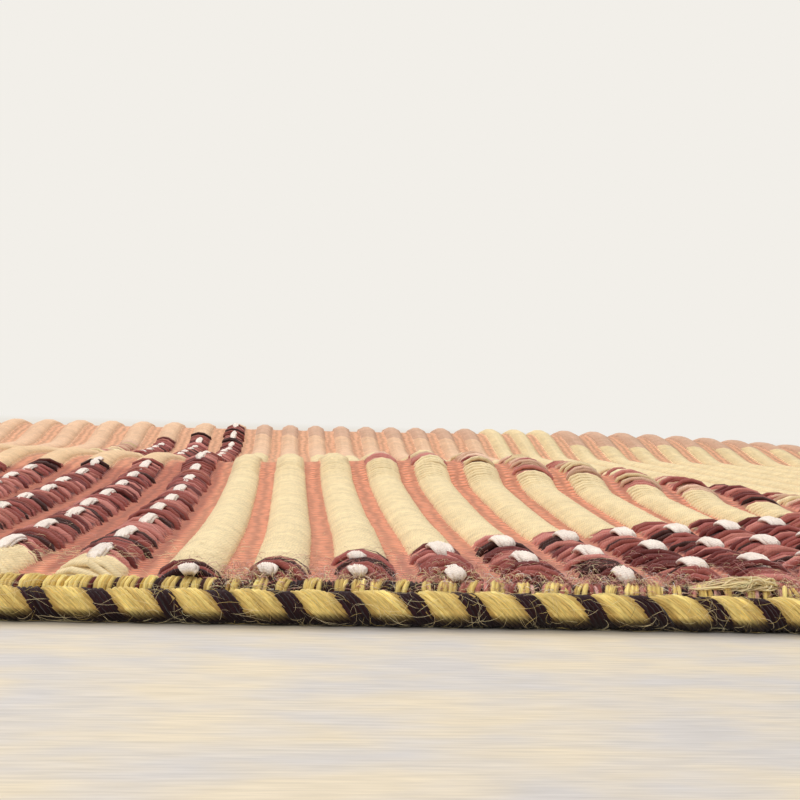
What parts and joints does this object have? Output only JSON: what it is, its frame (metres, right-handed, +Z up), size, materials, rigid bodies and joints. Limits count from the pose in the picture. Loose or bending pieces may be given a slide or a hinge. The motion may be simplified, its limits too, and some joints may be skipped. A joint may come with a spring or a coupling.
{
  "type": "flat-woven rug",
  "caption": "Cut length of ribbed flat-woven wool rug with rolled, cord-bound selvedges, lying in low swells.",
  "frame": {"origin": "on the floor, under the middle of the rug", "axes": "+X along the selvedge cords, +Y from the front selvedge to the back one, +Z up"},
  "size_m": [0.75, 0.7, 0.0273],
  "materials": {
    "field_wool": "matt hand-spun wool, woven and wrapped",
    "cord_wool": "matt hand-spun wool, wrapped in strands"
  },
  "bodies": {
    "root": {"field": "field_wool", "selvedge_cord_front": "cord_wool", "selvedge_cord_back": "cord_wool"}
  },
  "joints": []
}
